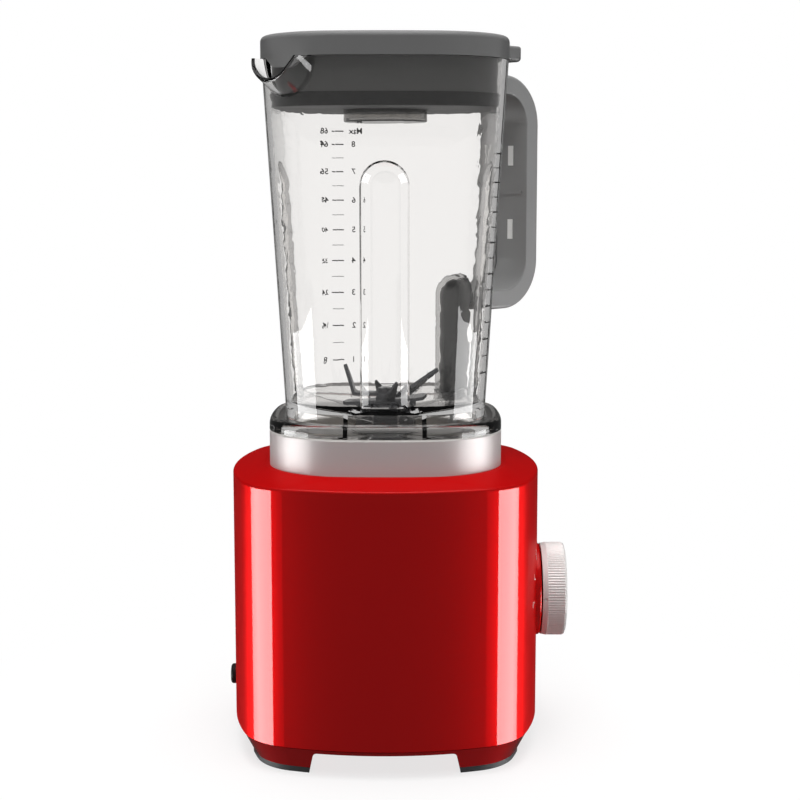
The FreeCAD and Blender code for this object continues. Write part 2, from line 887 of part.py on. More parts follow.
def cooling_fan():
    disc = tube(fan_radius, motor_shaft_radius, fan_top - fan_disc, fan_top)
    hub = tube(fan_hub_radius, motor_shaft_radius, fan_top - fan_height, fan_top)
    pieces = [disc, hub]
    for step in range(fan_blade_count):
        low = (fan_hub_radius - 1, -fan_vane / 2, fan_top - fan_height)
        vane = block(low, (fan_radius - fan_vane_gap, fan_vane / 2, fan_top - fan_disc / 2))
        vane.rotate(V(fan_hub_radius, 0, 0), UP, fan_vane_angle)
        pieces.append(about_z(vane, 360 * step / fan_blade_count))
    disc_limit = drum(fan_radius, fan_top - fan_height, fan_top)
    return fused(pieces).common(disc_limit)


def air_baffle():
    inner = fan_radius + baffle_gap
    bottom = pan_bottom + pan_floor
    wall = tube(inner + baffle_wall, inner, bottom, fan_top + baffle_rise)
    foot = tube(inner + baffle_wall + baffle_foot, inner, bottom, bottom + baffle_wall)
    return fused([wall, foot])


# ---------------------------------------------------------------- electrics
def control_board():
    half_y = board_width / 2
    half_z = board_height / 2
    low = (board_face, -half_y, knob_height - half_z)
    high = (board_face + board_thickness, half_y, knob_height + half_z)
    cuts = [rod_x(board_hole_radius, board_face - 1, board_face + 5, y, z) for y, z in board_places]
    return block(low, high).cut(fused(cuts))


def board_screws():
    screws = []
    for y, z in board_places:
        head = rod_x(board_head_radius, board_face - board_head_height, board_face, y, z)
        tip = board_face + board_thickness + board_screw_reach
        shank = rod_x(board_screw_radius, board_face, tip, y, z)
        screws.append(head.fuse(shank).removeSplitter())
    return screws


def on_board(depth, y, z, width, height):
    # a block on the board's inner face, with its lower corner at y and z
    return block((board_face - depth, y, z), (board_face, y + width, z + height))


def heat_sink():
    y = -sink_side
    z = knob_height - sink_drop - sink_height
    fins = []
    for step in range(fin_count):
        left = y + (step + 1) * fin_pitch - fin_gap
        low = (board_face - sink_depth - 1, left, z - 1)
        fins.append(block(low, (board_face - sink_back, left + fin_gap, z + sink_height + 1)))
    return on_board(sink_depth, y, z, sink_width, sink_height).cut(fused(fins))


def board_components():
    z = knob_height + relay_rise
    relay = on_board(relay_depth, -relay_side, z, relay_width, relay_height)
    capacitor = rod_x(capacitor_radius, board_face - capacitor_length, board_face, capacitor_side, z)
    foot = knob_height - terminal_drop
    terminal = on_board(terminal_depth, -terminal_side, foot, terminal_width, terminal_height)
    return [heat_sink(), relay, capacitor, terminal]


def speed_encoder():
    half = encoder_size / 2
    back = board_face + board_thickness
    body = block((back, -half, knob_height - half), (back + encoder_depth, half, knob_height + half))
    bush = rod_x(bush_radius, back, base_half + boss_rise - bush_recess, 0, knob_height)
    bore = rod_x(knob_shaft_radius + running_gap, back + encoder_back_wall, base_half + 10, 0, knob_height)
    return fused([body, bush]).cut(bore)


# ---------------------------------------------------------------- knob
def turned_x(points):
    # a solid of revolution about the knob's axis, from distance along X and radius
    corners = [V(x, 0, knob_height + r) for x, r in points]
    face = Part.Face(Part.makePolygon(corners + corners[:1]))
    return face.revolve(V(0, 0, knob_height), FRONT, 360)


def knob_outline():
    grip = knob_back + knob_taper_length
    return turned_x(
        [
            (knob_back, 0),
            (knob_back, knob_back_radius),
            (grip, knob_radius),
            (knob_front - knob_front_round, knob_radius),
            (knob_front - 0.3 * knob_front_round, knob_radius - 0.3 * knob_front_round),
            (knob_front, knob_radius - knob_front_round),
            (knob_front, knob_radius - knob_rim_width),
            (knob_front - knob_dish, knob_radius - knob_rim_width - knob_rim_slope),
            (knob_front - knob_dish, 0),
        ]
    )


def knob_ridges():
    # fine straight ridges round the grip, left proud between shallow notches
    grip = knob_back + knob_taper_length
    corners = []
    for step in range(2 * knob_ridge_count):
        reach = knob_radius if step % 2 == 0 else knob_radius - knob_ridge_depth
        angle = math.pi * step / knob_ridge_count
        corners.append(V(grip, reach * math.cos(angle), knob_height + reach * math.sin(angle)))
    face = Part.Face(Part.makePolygon(corners + corners[:1]))
    return face.extrude(V(knob_front - grip, 0, 0))


def speed_knob():
    grip = knob_back + knob_taper_length
    outline = knob_outline()
    back = outline.common(rod_x(knob_radius + 5, knob_back - 1, grip, 0, knob_height))
    front = outline.common(knob_ridges())
    pocket = rod_x(knob_radius - knob_wall, knob_back - 1, knob_front - knob_wall, 0, knob_height)
    start = V(knob_back + knob_dot_back, knob_dot_depth - knob_radius, knob_height)
    dot = Part.makeCylinder(knob_dot_radius, knob_dot_depth * 2, start, V(0, -1, 0))
    return back.fuse(front).cut(pocket).cut(dot)


def knob_core():
    rim = knob_radius - knob_wall - knob_core_gap
    back = knob_back + knob_core_recess
    front = knob_front - knob_wall
    cup = rod_x(rim, back, front, 0, knob_height)
    hollow = rod_x(rim - knob_core_wall, knob_back, front - knob_core_wall, 0, knob_height)
    hub = rod_x(knob_shaft_radius + knob_hub_wall, back, front, 0, knob_height)
    bore = rod_x(knob_shaft_radius, 0, front - knob_shaft_end, 0, knob_height)
    return fused([cup.cut(hollow), hub]).cut(bore)


def knob_shaft():
    start = board_face + board_thickness + encoder_back_wall + encoder_shaft_gap
    return rod_x(knob_shaft_radius, start, knob_front - knob_wall - knob_shaft_end, 0, knob_height)


# ---------------------------------------------------------------- jar
def rib_column(radius, face):
    # a bead along the +X wall that leans with it and ends in a dome
    foot_z = flange_top
    head_z = flange_top + rib_height - rib_radius
    axis_offset = rib_radius - rib_depth
    low = V(jar_plan(foot_z, jar_wall)[0] + axis_offset, 0, foot_z)
    high = V(jar_plan(head_z, jar_wall)[0] + axis_offset, 0, head_z)
    lean = high.sub(low)
    column = Part.makeCylinder(radius, lean.Length, low, lean)
    dome = Part.makeSphere(radius, high)
    return about_z(column.fuse(dome), face)


def post_pocket(grow_by, height):
    # the room that the handle post takes out of the jar's corner, with a domed head
    radius = post_radius + grow_by
    column = drum(radius, flange_top, flange_top + height, post_reach)
    dome = Part.makeSphere(radius, V(post_reach, 0, flange_top + height))
    mouth = block((post_reach, -radius, flange_top), (past_all, radius, flange_top + height))
    arch = Part.makeCylinder(radius, past_all - post_reach, V(post_reach, 0, flange_top + height), FRONT)
    return on_diagonal(fused([column, dome, mouth, arch]))


def spout_trough(radius):
    # a round channel that climbs outwards across the spout corner
    slope = math.radians(spout_slope)
    along = V(math.cos(slope), 0, math.sin(slope))
    across = V(-math.sin(slope), 0, math.cos(slope))
    middle = V(spout_reach, 0, rim_top - spout_lip_drop) + across * spout_radius
    start = middle - along * spout_radius * 1.4
    trough = Part.makeCylinder(radius, spout_radius * 2.6, start, along)
    return on_diagonal(trough, DIAGONAL + 180)


def spout_shape():
    # the spout's wall with a rounded lip, its sides cut off below the lid
    top = rim_top - spout_top_gap
    start = corner_reach(jar_plan(plug_bottom)) - spout_root
    bottom = plug_bottom - spout_drop
    front = block((start, -spout_radius, bottom), (past_all, spout_radius, top))
    front = front.common(drum(spout_front_radius, 0, top, spout_reach - spout_front_radius))
    upright = [e for e in front.Edges if e.BoundBox.ZLength > (top - bottom) * 0.7]
    corners = [e for e in upright if e.BoundBox.XMin > start + spout_root * 0.6]
    front = on_diagonal(front.makeFillet(spout_side_round, corners), DIAGONAL + 180)
    spout = spout_trough(spout_radius).common(front).cut(spout_trough(spout_radius - spout_wall))
    lip = []
    for edge in spout.Edges:
        middle = edge.valueAt((edge.FirstParameter + edge.LastParameter) / 2)
        if math.hypot(middle.x, middle.y) > spout_reach - 2.0 and edge.BoundBox.ZLength > 4:
            lip.append(edge)
    return spout.makeFillet(spout_lip_round, lip)


def hub_plan():
    return (floor_hub_half, floor_hub_half * 2, floor_hub_half * 0.7)


def under_floor():
    # the hollow under the floor: open at the bottom of the skirt, its roof dished like the floor
    top = floor_rim_top - floor_thickness
    cellar = prism(grow(skirt_plan, -skirt_wall), skirt_bottom, flange_bottom)
    vault = prism(jar_plan(flange_top, jar_wall + under_floor_inset), flange_bottom - 1.0, top)
    bowl = tapered(hub_plan(), floor_hub_top - floor_thickness, jar_plan(floor_rim_top), top)
    return cellar.fuse(vault).cut(bowl)


def floor_webs():
    webs = []
    for step in range(floor_web_count):
        low = (hub_nut_radius + floor_web_start, -floor_web / 2, flange_bottom - floor_web_drop)
        high = (band_half, floor_web / 2, floor_rim_top)
        webs.append(about_z(block(low, high), 360 * (step + 0.5) / floor_web_count))
    return fused(webs)


def handle_lug():
    reach = corner_reach(jar_plan(upper_arm))
    low = (reach - lug_root, -lug_width / 2, upper_arm - lug_height / 2)
    high = (reach + lug_length, lug_width / 2, upper_arm + lug_height / 2)
    lug = block(low, high).cut(drum(small_screw_radius, 0, rim_top, reach + lug_length * 0.6))
    return on_diagonal(lug).cut(jar_cone(flange_top, rim_top))


def jar_body():
    shoulder = flange_top + flange_shoulder
    flange = prism(band_plan, flange_bottom, shoulder)
    flange = flange.makeFillet(flange_round, edges_at(flange, shoulder, band_half * 0.5))
    skirt = prism(skirt_plan, skirt_bottom, flange_bottom)
    outside = fused([skirt, flange, jar_cone(flange_top, rim_top)])
    dish = tapered(hub_plan(), floor_hub_top, jar_plan(floor_rim_top, jar_wall), floor_rim_top)
    room = jar_cone(floor_rim_top, rim_top, jar_wall).fuse(dish)
    hollow = under_floor()
    shape = outside.cut(room).cut(hollow).fuse(floor_webs().common(hollow))

    # four hollow ribs, one on each wall, and the pocket of the handle post
    inner = jar_cone(flange_top, rim_top, jar_wall * 0.5)
    ribs = fused([rib_column(rib_radius, 90 * k) for k in range(4)]).common(inner).cut(hollow)
    pocket_wall = post_pocket(post_wall, post_height).common(inner)
    above_floor = block((-past_all, -past_all, floor_rim_top - 1.0), (past_all, past_all, rim_top))
    grooves = fused([rib_column(rib_radius - rib_wall, 90 * k) for k in range(4)]).common(above_floor)
    shape = fused([shape, ribs, pocket_wall]).cut(grooves).cut(post_pocket(fit_gap, post_height))

    spout = spout_shape().cut(inner)
    shape = shape.cut(spout_trough(spout_radius - spout_wall)).fuse(spout)
    screw_x = post_reach / math.sqrt(2)
    cuts = [drum(hub_tube_radius, flange_bottom - 20, hub_top + 1)]
    cuts.append(drum(bolt_radius + 2 * bolt_gap, flange_bottom - 1, flange_top + 1, screw_x, screw_x))
    return shape.cut(fused(cuts)).removeSplitter()


# ---------------------------------------------------------------- handle
def loop_outline(width, depth):
    # the loop's outline in the XZ plane as a slab, moved in by a depth
    x = handle_reach - depth
    low = handle_bottom + depth
    high = handle_top - depth
    slab = block((post_reach - 20, -width / 2, low), (x, width / 2, high))
    corners = []
    for edge in slab.Edges:
        box = edge.BoundBox
        if abs(box.XMin - x) < 0.01 and abs(box.XMax - x) < 0.01 and box.YLength > width * 0.9:
            corners.append(edge)
    return slab.makeFillet(handle_corner - depth, corners)


def edges_near(shape, wanted):
    # a shape's own edges that lie where the wanted ones do
    middles = [e.valueAt((e.FirstParameter + e.LastParameter) / 2) for e in wanted]
    found = []
    for edge in shape.Edges:
        middle = edge.valueAt((edge.FirstParameter + edge.LastParameter) / 2)
        if any(middle.distanceToPoint(place) < 0.01 for place in middles):
            found.append(edge)
    return found


def loop_solid(width, depth_from, depth_to):
    return loop_outline(width, depth_from).cut(loop_outline(width, depth_to))


def handle_room(gap):
    # what the handle stops at: the jar's corner, and the flat of the post below
    jar = jar_cone(flange_top, rim_top, -gap)
    foot = block((0, -handle_width, 0), (post_face_reach, handle_width, handle_middle))
    return jar.fuse(on_diagonal(foot))


def handle_shell():
    body = loop_solid(handle_width, 0, handle_depth)
    backs = []
    lips = []
    for edge in body.Edges:
        box = edge.BoundBox
        on_side = abs(abs(box.YMin) - handle_width / 2) < 0.01 and box.YLength < 0.01
        if on_side and box.XMax > handle_reach - handle_corner - 0.5 and box.XMin > post_reach * 0.75:
            outline = box.XMax > handle_reach - 0.01 or abs(box.ZMax - handle_top) < 0.01
            outline = outline or abs(box.ZMin - handle_bottom) < 0.01
            (backs if outline else lips).append(edge)
    body = body.makeFillet(handle_edge_round, backs)
    body = body.makeFillet(handle_lip_round, edges_near(body, lips))
    channel = loop_solid(handle_width - 2 * handle_wall, handle_wall, handle_depth + 1.0)
    return on_diagonal(body.cut(channel)).cut(handle_room(fit_gap))


def slot_places():
    return [handle_middle + slot_spacing / 2, handle_middle - slot_spacing / 2]


def handle_inner_cover():
    width = handle_width - 2 * handle_wall - 2 * cover_gap
    strip = loop_solid(width, cover_depth - cover_thickness, cover_depth)
    face = handle_reach - cover_depth
    cuts = []
    for z in slot_places():
        low = (face - 2, -slot_width / 2, z - slot_height / 2)
        high = (face + cover_thickness + 2, slot_width / 2, z + slot_height / 2)
        cuts.append(block(low, high))
    half_rib = width / 2 - cover_rib_end
    low = (face - cover_rib_depth, -half_rib, handle_middle - cover_rib_height / 2)
    high = (face + 1, half_rib, handle_middle + cover_rib_height / 2)
    for x, seat, tip in arm_screw_places():
        cuts.append(drum(small_screw_radius + 2 * bolt_gap, min(seat, tip) - 1, max(seat, tip) + 1, x))
    return on_diagonal(fused([strip, block(low, high)]).cut(fused(cuts))).cut(handle_room(fit_gap))


def handle_clips():
    clips = []
    face = handle_reach - cover_depth - clip_proud
    half_width = slot_width / 2 - cover_gap
    half_height = slot_height / 2 - cover_gap
    for z in slot_places():
        low = (face, -half_width, z - half_height)
        high = (handle_reach - handle_wall, half_width, z + half_height)
        clips.append(on_diagonal(block(low, high)))
    return clips


def arm_screw_places():
    # along the handle's plane: where each arm's screw goes through the cover, from seat to tip
    upper_x = corner_reach(jar_plan(upper_arm)) + lug_length * 0.6
    lower_x = post_face_reach + lug_length * 0.6
    top_seat = handle_top - cover_depth
    low_seat = handle_bottom + cover_depth
    reach = cover_thickness + small_screw_reach
    return [(upper_x, top_seat, top_seat + reach), (lower_x, low_seat, low_seat - reach)]


def handle_post():
    head = flange_top + post_height
    column = drum(post_radius, flange_top, head, post_reach)
    dome = Part.makeSphere(post_radius, V(post_reach, 0, head))
    mouth = block((post_reach, -post_radius, flange_top), (post_face_reach, post_radius, head))
    arch = Part.makeCylinder(post_radius, post_face_reach - post_reach, V(post_reach, 0, head), FRONT)
    low = (post_face_reach - post_tongue_root, -lug_width / 2, lower_arm - lug_height / 2)
    high = (post_face_reach + lug_length, lug_width / 2, lower_arm + lug_height / 2)
    tongue = block(low, high).cut(drum(small_screw_radius, 0, rim_top, post_face_reach + lug_length * 0.6))
    shape = fused([column, dome, mouth, arch, tongue])
    hole_end = flange_top + post_screw_reach + screw_end_gap
    return on_diagonal(shape.cut(drum(bolt_radius, flange_top - 1, hole_end, post_reach)))


def handle_screws():
    screws = [on_diagonal(screw(post_reach, 0, flange_bottom, flange_top + post_screw_reach))]
    for x, seat, tip in arm_screw_places():
        small = screw(x, 0, seat, tip, small_screw_radius, small_head_radius, small_head_height)
        screws.append(on_diagonal(small))
    return screws


# ---------------------------------------------------------------- blade assembly
def bearing_hub():
    flange = drum(hub_flange_radius, floor_hub_top, hub_top)
    rim = [e for e in flange.Edges if abs(e.BoundBox.ZMin - hub_top) < 0.01]
    flange = flange.makeChamfer(hub_chamfer, rim)
    body = drum(hub_tube_radius, hub_tube_bottom, floor_hub_top)
    cuts = [drum(bearing_radius, hub_tube_bottom - 1, floor_hub_top)]
    cuts.append(drum(bearing_radius * 0.8, hub_tube_bottom, hub_top + 1))
    return fused([flange, body]).cut(fused(cuts))


def hub_nut():
    top = floor_hub_top - floor_thickness
    outer = star(hub_nut_radius, hub_nut_radius * 0.93, 6, top - hub_nut_height, top)
    return outer.cut(drum(hub_tube_radius, 0, top))


def blade_bearings():
    bearings = []
    outer_race = bearing_radius * 0.82
    inner_race = bearing_radius * 0.68
    for bottom in (hub_tube_bottom + bearing_rest, floor_hub_top - bearing_height):
        top = bottom + bearing_height
        outer = tube(bearing_radius, outer_race, bottom, top)
        shield = tube(outer_race, inner_race, bottom + bearing_recess, top - bearing_recess)
        inner = tube(inner_race, spindle_radius + running_gap, bottom, top)
        bearings.append(fused([outer, shield, inner]))
    return bearings


def spindle_seal():
    return tube(bearing_radius * 0.8, spindle_radius + fit_gap, floor_hub_top, hub_top)


def blade_spindle():
    top = blade_bottom + 4 * blade_thickness + nut_height + spindle_end
    shape = drum(spindle_radius, driven_bottom + star_height + coupling_gap, top)
    rim = [e for e in shape.Edges if abs(e.BoundBox.ZMin - top) < 0.01]
    return shape.makeChamfer(spindle_chamfer, rim)


def driven_coupler():
    top = driven_bottom + star_height + coupling_gap + driven_web
    body = drum(driven_radius, driven_bottom, top)
    socket = star(
        star_radius + coupling_gap,
        star_root_radius + coupling_gap,
        star_points,
        driven_bottom - 1,
        driven_bottom + star_height + coupling_gap,
    )
    return body.cut(socket).cut(drum(spindle_radius, driven_bottom + star_height, top))


def blade_hub():
    top = blade_bottom + blade_thickness
    body = tube(blade_hub_radius, spindle_radius, blade_bottom, top)
    notches = []
    for step in range(blade_notch_count):
        low = (blade_hub_radius - blade_notch_depth, -blade_notch_width / 2, blade_bottom - 1)
        high = (blade_hub_radius + 1, blade_notch_width / 2, top + 1)
        notches.append(about_z(block(low, high), 360 * step / blade_notch_count))
    return body.cut(fused(notches))


def blade_arm(flat, width, length, angle, level):
    # a straight flat, then a wing that tapers to a point and is bent up at its root
    root = block((0, -width / 2, level), (flat, width / 2, level + blade_thickness))
    corners = [
        V(0, -width / 2, 0),
        V(length * 0.35, -width / 2, 0),
        V(length, width * 0.25, 0),
        V(length - 0.6, width / 2, 0),
        V(0, width / 2, 0),
    ]
    wing = Part.Face(Part.makePolygon(corners + corners[:1])).extrude(V(0, 0, blade_thickness))
    wing.rotate(V(0, 0, blade_thickness), V(0, 1, 0), -angle)
    wing.translate(V(flat, 0, level))
    knee = Part.makeCylinder(
        blade_thickness, width, V(flat, -width / 2, level + blade_thickness), V(0, 1, 0)
    )
    upper = block((flat - 5, -width, level), (flat + 5, width, level + blade_thickness))
    knee = knee.common(upper)
    return [root, wing, knee]


def blade(arms, level, radius):
    pieces = [drum(radius, level, level + blade_thickness)]
    for heading, flat, width, length, angle in arms:
        pieces += [about_z(p, heading) for p in blade_arm(flat, width, length, angle, level)]
    return fused(pieces).cut(drum(spindle_radius, 0, rim_top))


def upper_blade():
    level = blade_bottom + 3 * blade_thickness
    arms = [
        (176, upper_flat + 4.0, blade_width * 0.7, steep_length, steep_angle),
        (-28, upper_flat - 1.5, blade_width, slope_length, slope_angle),
    ]
    return blade(arms, level, blade_width * 0.6)


def middle_blade():
    level = blade_bottom + 2 * blade_thickness
    arms = [
        (-76, middle_flat - 3.0, blade_width * 0.5, middle_length, middle_angle),
        (104, middle_flat - 3.0, blade_width * 0.5, middle_length * 0.8, middle_angle * 0.7),
    ]
    return blade(arms, level, blade_width * 0.6)


def lower_blade():
    level = blade_bottom + blade_thickness
    length = lower_reach - middle_flat
    arms = [(heading, middle_flat, lower_width, length, 3.0) for heading in (28, 208)]
    return blade(arms, level, blade_width * 0.6)


def blade_nut():
    bottom = blade_bottom + 4 * blade_thickness
    nut = star(nut_radius, nut_radius * math.cos(math.radians(30)), 6, bottom, bottom + nut_height)
    return nut.cut(drum(spindle_radius, bottom, bottom + nut_height))


# ---------------------------------------------------------------- lid
def lid_tab():
    # the thumb tab over the handle
    start = corner_reach(lid_plan) - lid_edge_round - 1.0
    top = lid_top_level + tab_rise
    tab = block((start, -tab_width / 2, top - tab_height), (tab_reach, tab_width / 2, top))
    upright = [e for e in tab.Edges if e.BoundBox.ZLength > tab_height * 0.9]
    ends = [e for e in upright if e.BoundBox.XMin > tab_reach - 0.01]
    tab = tab.makeFillet(tab_corner, ends)
    tab = tab.makeFillet(tab_round, [e for e in tab.Edges if e.BoundBox.ZMin > top - 0.01])
    unders = [e for e in tab.Edges if e.BoundBox.ZMax < top - tab_height + 0.01]
    return on_diagonal(tab.makeFillet(tab_under_round, unders))


def lid_tongue():
    # a tongue under the lid's edge reaches down inside the spout, between the spout's own walls
    wide = dip_half_width + dip_slope
    steps = 16
    points = []
    for step in range(steps + 1):
        across = wide * (2 * step / steps - 1)
        share = max(0.0, (abs(across) - dip_half_width) / dip_slope)
        drop = dip_drop * (1 + math.cos(math.pi * share)) / 2
        points.append(V(0, across, rim_top - drop))
    curve = Part.BSplineCurve()
    curve.interpolate(points)
    top = V(0, 0, 1.0)
    corners = [points[-1], points[-1] + top, points[0] + top, points[0]]
    sides = [Part.makeLine(a, b) for a, b in zip(corners, corners[1:])]
    tongue = Part.Face(Part.Wire([curve.toShape()] + sides)).extrude(V(tab_reach, 0, 0))
    inner = grow(lid_plan, -dip_wall)
    band = ring(lid_plan, inner, rim_top - dip_drop - 1, rim_top + 1)
    channel = spout_trough(spout_radius - spout_wall - shell_gap)
    return band.common(on_diagonal(tongue, DIAGONAL + 180)).common(channel)


def lid_shell():
    body = prism(lid_plan, rim_top, lid_top_level)
    body = body.makeFillet(lid_edge_round, edges_at(body, lid_top_level, lid_half * 0.5))
    body = fused([body, lid_tab()])
    ledge = grow(lid_plan, lid_ledge_half - lid_half)
    recess = lid_top_level - cup_flange - cup_rest
    cuts = [prism(ledge, rim_top - 1, lid_top_level - lid_top_thickness)]
    cuts.append(drum(cup_radius + cup_gap, rim_top, lid_top_level + 1))
    cuts.append(drum(cup_flange_radius + fit_gap, recess, lid_top_level + 1))
    for angle in (45, 225):
        cuts.append(about_z(drum(finger_notch_radius, recess, lid_top_level + 1, cup_flange_radius), angle))
    return fused([body.cut(fused(cuts)), lid_tongue()])


def lid_plug():
    plan = plug_plan()
    outer = prism(plan, plug_bottom, rim_top)
    hollow = prism(grow(plan, -plug_wall), plug_bottom + plug_wall, rim_top + 1)
    collar = drum(cup_radius + cup_gap + collar_wall, plug_bottom, lid_top_level - lid_top_thickness)
    bore = drum(cup_radius + cup_gap, plug_bottom - 1, lid_top_level)
    return fused([outer.cut(hollow), collar]).cut(bore)


def plug_plan():
    return jar_plan(plug_bottom, jar_wall + plug_gap)


def lid_gasket():
    inner = plug_plan()
    bottom = plug_bottom + gasket_rise
    body = ring(grow(inner, gasket_wall), inner, bottom, bottom + gasket_height)
    ribs = []
    for step in range(gasket_rib_count):
        level = bottom + gasket_rib + step * gasket_rib_pitch
        reach = jar_plan(level, jar_wall + fit_gap)
        ribs.append(ring(reach, inner, level, level + gasket_rib))
    return fused([body] + ribs)


def fill_cup():
    top = lid_top_level - cup_rest
    bottom = plug_bottom - cup_below_plug
    body = drum(cup_radius, bottom, top)
    body = body.makeFillet(cup_round, edges_at(body, bottom, 0))
    flange = drum(cup_flange_radius, top - cup_flange, top)
    bore = drum(cup_radius - cup_wall, bottom + cup_wall, top + 1)
    return fused([body, flange]).cut(bore)


# ---------------------------------------------------------------- everything
def main():
    os.makedirs("parts", exist_ok=True)
    save("base_housing", base_housing())
    save("bottom_pan", bottom_pan())
    save("foot_pads", foot_pads())
    save("pan_screws", pan_screws())
    save("trim_band", trim_band())
    save("jar_seat", jar_seat())
    save("base_shaft_seal", base_shaft_seal())
    save("cord_gland", cord_gland())
    save("upper_bracket", upper_bracket())
    save("lower_bracket", lower_bracket())
    save("upper_motor_bearing", motor_bearing(upper_bearing_bottom))
    save("lower_motor_bearing", motor_bearing(lower_bearing_bottom))
    save("tie_bolts", tie_bolts())
    save("motor_screws", motor_screws())
    save("motor_dampers", motor_dampers())
    save("stator_core", stator_core())
    save("field_windings", field_windings())
    save("brush_holders", brush_holders())
    save("carbon_brushes", carbon_brushes())
    save("brush_springs", brush_springs())
    save("air_baffle", air_baffle())
    save("control_board", control_board())
    save("board_screws", board_screws())
    save("board_components", board_components())
    save("speed_encoder", speed_encoder())
    save("motor_shaft", motor_shaft())
    save("rotor_core", rotor_core())
    save("armature_windings", armature_windings())
    save("commutator", commutator())
    save("cooling_fan", cooling_fan())
    save("drive_coupler", drive_coupler())
    save("speed_knob", speed_knob())
    save("knob_core", knob_core())
    save("knob_shaft", knob_shaft())
    save("jar_body", jar_body())
    save("handle_lug", handle_lug())
    save("handle_shell", handle_shell())
    save("handle_inner_cover", handle_inner_cover())
    save("handle_clips", handle_clips())
    save("handle_post", handle_post())
    save("handle_screws", handle_screws())
    save("bearing_hub", bearing_hub())
    save("hub_nut", hub_nut())
    save("blade_bearings", blade_bearings())
    save("spindle_seal", spindle_seal())
    save("blade_spindle", blade_spindle())
    save("driven_coupler", driven_coupler())
    save("blade_hub", blade_hub())
    save("lower_blade", lower_blade())
    save("middle_blade", middle_blade())
    save("upper_blade", upper_blade())
    save("blade_nut", blade_nut())
    save("lid_shell", lid_shell())
    save("lid_plug", lid_plug())
    save("lid_gasket", lid_gasket())
    save("fill_cup", fill_cup())


main()
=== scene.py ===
import math

import bpy
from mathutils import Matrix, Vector


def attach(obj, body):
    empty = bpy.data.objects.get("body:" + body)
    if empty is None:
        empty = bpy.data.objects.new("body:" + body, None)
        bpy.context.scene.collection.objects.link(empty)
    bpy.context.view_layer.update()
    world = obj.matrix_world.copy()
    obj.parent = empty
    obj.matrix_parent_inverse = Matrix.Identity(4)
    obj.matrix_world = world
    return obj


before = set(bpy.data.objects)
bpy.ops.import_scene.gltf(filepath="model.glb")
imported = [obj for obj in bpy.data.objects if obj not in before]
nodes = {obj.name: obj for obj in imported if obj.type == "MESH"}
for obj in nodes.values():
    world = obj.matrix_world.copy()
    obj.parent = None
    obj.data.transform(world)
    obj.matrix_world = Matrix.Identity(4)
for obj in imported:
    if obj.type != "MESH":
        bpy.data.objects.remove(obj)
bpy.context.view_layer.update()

mm = 0.001


# small helpers

def toLinear(hexColour):
    parts = [int(hexColour[i:i + 2], 16) / 255 for i in (1, 3, 5)]
    linear = [c / 12.92 if c <= 0.04045 else ((c + 0.055) / 1.055) ** 2.4 for c in parts]
    return (*linear, 1.0)


def addNode(tree, kind, settings=None, links=None):
    # settings are sockets or node values by name, links are other nodes' outputs by socket name
    node = tree.nodes.new(kind)
    for key, value in (settings or {}).items():
        if key in node.inputs:
            node.inputs[key].default_value = value
        else:
            setattr(node, key, value)
    for key, source in (links or {}).items():
        tree.links.new(source, node.inputs[key])
    return node


def startMaterial(name):
    material = bpy.data.materials.new(name)
    material.use_nodes = True
    material.node_tree.nodes.clear()
    return material, material.node_tree


def endMaterial(tree, shaderOutput):
    addNode(tree, "ShaderNodeOutputMaterial", {}, {"Surface": shaderOutput})


def dress(material, *names):
    for name in names:
        for slot in nodes[name].material_slots:
            slot.material = material


def selectOnly(*objects):
    if bpy.context.mode != "OBJECT":
        bpy.ops.object.mode_set(mode="OBJECT")
    bpy.ops.object.select_all(action="DESELECT")
    for item in objects:
        item.select_set(True)
    bpy.context.view_layer.objects.active = objects[0]


def applyModifiers(item):
    selectOnly(item)
    for modifier in list(item.modifiers):
        bpy.ops.object.modifier_apply(modifier=modifier.name)


# materials

enamelPlan = {
    "first": "#f00408", "second": "#f4060a", "cloudSize": 60 * mm,
    "metallic": 0.62, "roughness": 0.5, "ior": 1.5, "sheen": "#ff1818",
    "coatRoughness": 0.03, "coatIor": 1.6, "coatFull": 1.0, "coatLeast": 0.05,
    "coatFrom": 0.36, "coatTo": 0.56,
    "peelSize": 3.0 * mm, "peelStrength": 0.02, "peelDepth": 0.05 * mm,
}


